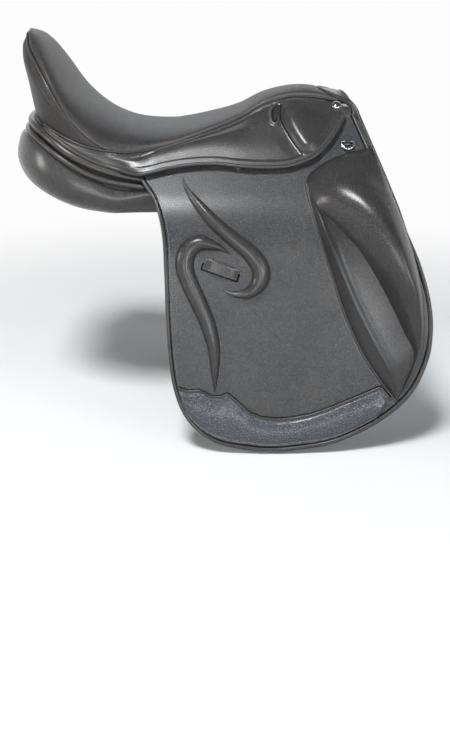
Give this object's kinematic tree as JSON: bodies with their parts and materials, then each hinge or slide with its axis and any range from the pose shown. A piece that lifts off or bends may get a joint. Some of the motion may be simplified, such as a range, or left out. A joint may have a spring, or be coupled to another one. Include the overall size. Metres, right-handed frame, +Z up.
{
  "type": "dressage saddle",
  "caption": "Dressage saddle with deep padded seat, high cantle, straight flaps with outside thigh blocks and scroll calf rolls, liftable skirts, stirrup bars and panels.",
  "frame": {"origin": "mid-plane of the saddle, on the bearing plane of the panels, straight below the lowest point of the seat", "axes": "+X towards the pommel, +Y to the left side of the saddle, +Z up"},
  "size_m": [0.5777, 0.4854, 0.5464],
  "materials": {
    "calf_leather": "smooth black calf leather, satin",
    "grain_leather": "fine pebbled black leather",
    "patch_leather": "coarse pebbled black leather, slightly glossy",
    "steel": "polished plated steel",
    "tree_wood": "laminated beech",
    "webbing": "woven linen webbing",
    "foam": "soft foam"
  },
  "bodies": {
    "saddle": {"tree": "tree_wood", "gullet_plate": "steel", "gullet_rivets": "steel", "stirrup_bar_right": "steel", "stirrup_bar_left": "steel", "bar_rivets": "steel", "seat_web": "webbing", "girth_web_front_right": "webbing", "girth_web_rear_right": "webbing", "girth_web_front_left": "webbing", "girth_web_rear_left": "webbing", "seat_foam": "foam", "seat_cover": "calf_leather", "cantle_facing": "calf_leather", "seat_welt": "calf_leather", "pommel_facing": "calf_leather", "skirt_top_right": "calf_leather", "skirt_top_left": "calf_leather", "skirt_nail_right": "steel", "skirt_nail_left": "steel", "flap_root_right": "grain_leather", "flap_root_left": "grain_leather", "sweat_flap_right": "grain_leather", "sweat_flap_left": "grain_leather", "panel_right": "calf_leather", "panel_left": "calf_leather", "rear_band": "calf_leather", "rear_welt": "calf_leather", "dee_staple_right": "steel", "dee_staple_left": "steel", "channel_lining": "calf_leather"},
    "flap_body_right": {"flap_right": "grain_leather", "thigh_block_right": "calf_leather", "flap_patch_right": "patch_leather", "calf_roll_upper_right": "calf_leather", "calf_roll_lower_right": "calf_leather", "leather_keeper_right": "grain_leather"},
    "skirt_body_right": {"skirt_right": "calf_leather"},
    "catch_body_right": {"bar_catch_right": "steel"},
    "dee_body_right": {"dee_right": "steel"},
    "billet_front_body_right": {"billet_front_right": "grain_leather"},
    "billet_rear_body_right": {"billet_rear_right": "grain_leather"},
    "flap_body_left": {"flap_left": "grain_leather", "thigh_block_left": "calf_leather", "flap_patch_left": "patch_leather", "calf_roll_upper_left": "calf_leather", "calf_roll_lower_left": "calf_leather", "leather_keeper_left": "grain_leather"},
    "skirt_body_left": {"skirt_left": "calf_leather"},
    "catch_body_left": {"bar_catch_left": "steel"},
    "dee_body_left": {"dee_left": "steel"},
    "billet_front_body_left": {"billet_front_left": "grain_leather"},
    "billet_rear_body_left": {"billet_rear_left": "grain_leather"}
  },
  "joints": [
    {"name": "flap_lift_right", "type": "hinge", "parent": "saddle", "child": "flap_body_right", "pos_m": [-0.0225, -0.13765, 0.05488], "axis": [-0.9987, -0.0339, -0.0377], "range_deg": [0, 70]},
    {"name": "flap_lift_left", "type": "hinge", "parent": "saddle", "child": "flap_body_left", "pos_m": [-0.0225, 0.13765, 0.05488], "axis": [0.9987, -0.0339, 0.0377], "range_deg": [0, 70]},
    {"name": "skirt_lift_right", "type": "hinge", "parent": "saddle", "child": "skirt_body_right", "pos_m": [-0.02, -0.124, 0.086], "axis": [-0.9554, -0.2052, -0.2123], "range_deg": [0, 35]},
    {"name": "skirt_lift_left", "type": "hinge", "parent": "saddle", "child": "skirt_body_left", "pos_m": [-0.02, 0.124, 0.086], "axis": [0.9554, -0.2052, 0.2123], "range_deg": [0, 35]},
    {"name": "catch_turn_right", "type": "hinge", "parent": "saddle", "child": "catch_body_right", "pos_m": [0.12, -0.0975, 0.09677], "axis": [0, 0.7431, -0.6691], "range_deg": [0, 75]},
    {"name": "catch_turn_left", "type": "hinge", "parent": "saddle", "child": "catch_body_left", "pos_m": [0.12, 0.0975, 0.09677], "axis": [0, 0.7431, 0.6691], "range_deg": [0, 75]},
    {"name": "dee_swing_right", "type": "hinge", "parent": "saddle", "child": "dee_body_right", "pos_m": [0.254, -0.10244, 0.10055], "axis": [-1, 0, 0], "range_deg": [0, 100]},
    {"name": "dee_swing_left", "type": "hinge", "parent": "saddle", "child": "dee_body_left", "pos_m": [0.254, 0.10244, 0.10055], "axis": [1, 0, 0], "range_deg": [0, 100]},
    {"name": "billet_rear_swing_right", "type": "hinge", "parent": "saddle", "child": "billet_rear_body_right", "pos_m": [0.046, -0.19073, -0.073], "axis": [0, -0.9903, 0.1392], "range_deg": [-4, 4]},
    {"name": "billet_rear_swing_left", "type": "hinge", "parent": "saddle", "child": "billet_rear_body_left", "pos_m": [0.046, 0.19073, -0.073], "axis": [0, -0.9903, -0.1392], "range_deg": [-4, 4]},
    {"name": "billet_front_swing_right", "type": "hinge", "parent": "saddle", "child": "billet_front_body_right", "pos_m": [0.086, -0.19073, -0.073], "axis": [0, -0.9903, 0.1392], "range_deg": [-4, 4]},
    {"name": "billet_front_swing_left", "type": "hinge", "parent": "saddle", "child": "billet_front_body_left", "pos_m": [0.086, 0.19073, -0.073], "axis": [0, -0.9903, -0.1392], "range_deg": [-4, 4]}
  ]
}
